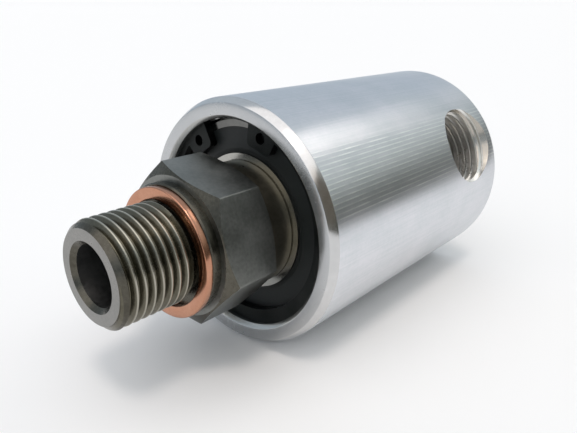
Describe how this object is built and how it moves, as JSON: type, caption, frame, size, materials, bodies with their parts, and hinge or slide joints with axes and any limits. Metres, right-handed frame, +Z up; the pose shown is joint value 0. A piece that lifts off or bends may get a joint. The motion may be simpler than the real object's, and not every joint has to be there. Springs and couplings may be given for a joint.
{
  "type": "hydraulic rotary union",
  "caption": "Round aluminium hydraulic rotary union: a hollow steel rotor with a threaded spigot, hexagon and copper washer turns in sealed ball bearings; threaded oil port in the side.",
  "frame": {"origin": "centre of the housing's flat rear face, on the spin axis", "axes": "+X along the spin axis, out of the rear face, so the threaded spigot points to -X; +Z up as the part lies on its round side, with the oil port looking to -Y and 25 degrees upwards"},
  "size_m": [0.1114, 0.056, 0.056],
  "materials": {
    "turned_aluminium": "bar turned, bright, fine lengthwise streaks",
    "dark_steel": "burnished dark, turned and milled",
    "copper": "soft copper, smooth",
    "black_spring_steel": "phosphated black",
    "bearing_steel": "ground",
    "polished_balls": "polished",
    "cage_steel": "pressed sheet",
    "spacer_steel": "turned, zinc plated",
    "black_rubber": "moulded, satin",
    "filled_ptfe": "bronze filled, smooth"
  },
  "bodies": {
    "stator": {"housing": "turned_aluminium", "housing_circlip": "black_spring_steel", "outer_spacer": "spacer_steel", "oil_seal_case": "spacer_steel", "oil_seal_lip": "black_rubber", "garter_spring": "spacer_steel", "pressure_slip_ring": "filled_ptfe", "pressure_o_ring": "black_rubber", "front_bearing_outer_ring": "bearing_steel", "front_bearing_front_shield": "black_rubber", "front_bearing_rear_shield": "black_rubber", "rear_bearing_outer_ring": "bearing_steel", "rear_bearing_front_shield": "black_rubber", "rear_bearing_rear_shield": "black_rubber"},
    "rotor_group": {"rotor": "dark_steel", "shaft_circlip": "black_spring_steel", "inner_spacer": "spacer_steel", "front_bearing_inner_ring": "bearing_steel", "rear_bearing_inner_ring": "bearing_steel"},
    "front_cage_group": {"front_bearing_balls": "polished_balls", "front_bearing_cage": "cage_steel"},
    "rear_cage_group": {"rear_bearing_balls": "polished_balls", "rear_bearing_cage": "cage_steel"},
    "washer": {"copper_washer": "copper"}
  },
  "joints": [
    {"name": "rotor_spin", "type": "hinge", "parent": "stator", "child": "rotor_group", "pos_m": [-0.06686, 0, 0], "axis": [1, 0, 0], "continuous": true},
    {"name": "front_cage_spin", "type": "hinge", "parent": "stator", "child": "front_cage_group", "pos_m": [-0.06686, 0, 0], "axis": [1, 0, 0], "continuous": true},
    {"name": "rear_cage_spin", "type": "hinge", "parent": "stator", "child": "rear_cage_group", "pos_m": [-0.04886, 0, 0], "axis": [1, 0, 0], "continuous": true},
    {"name": "washer_slide", "type": "slide", "parent": "rotor_group", "child": "washer", "axis": [-1, 0, 0], "range_m": [0, 0.0155]}
  ],
  "couplings": [
    {"joint": "front_cage_spin", "follows": "rotor_spin", "ratio": 0.41181},
    {"joint": "rear_cage_spin", "follows": "rotor_spin", "ratio": 0.41181}
  ]
}
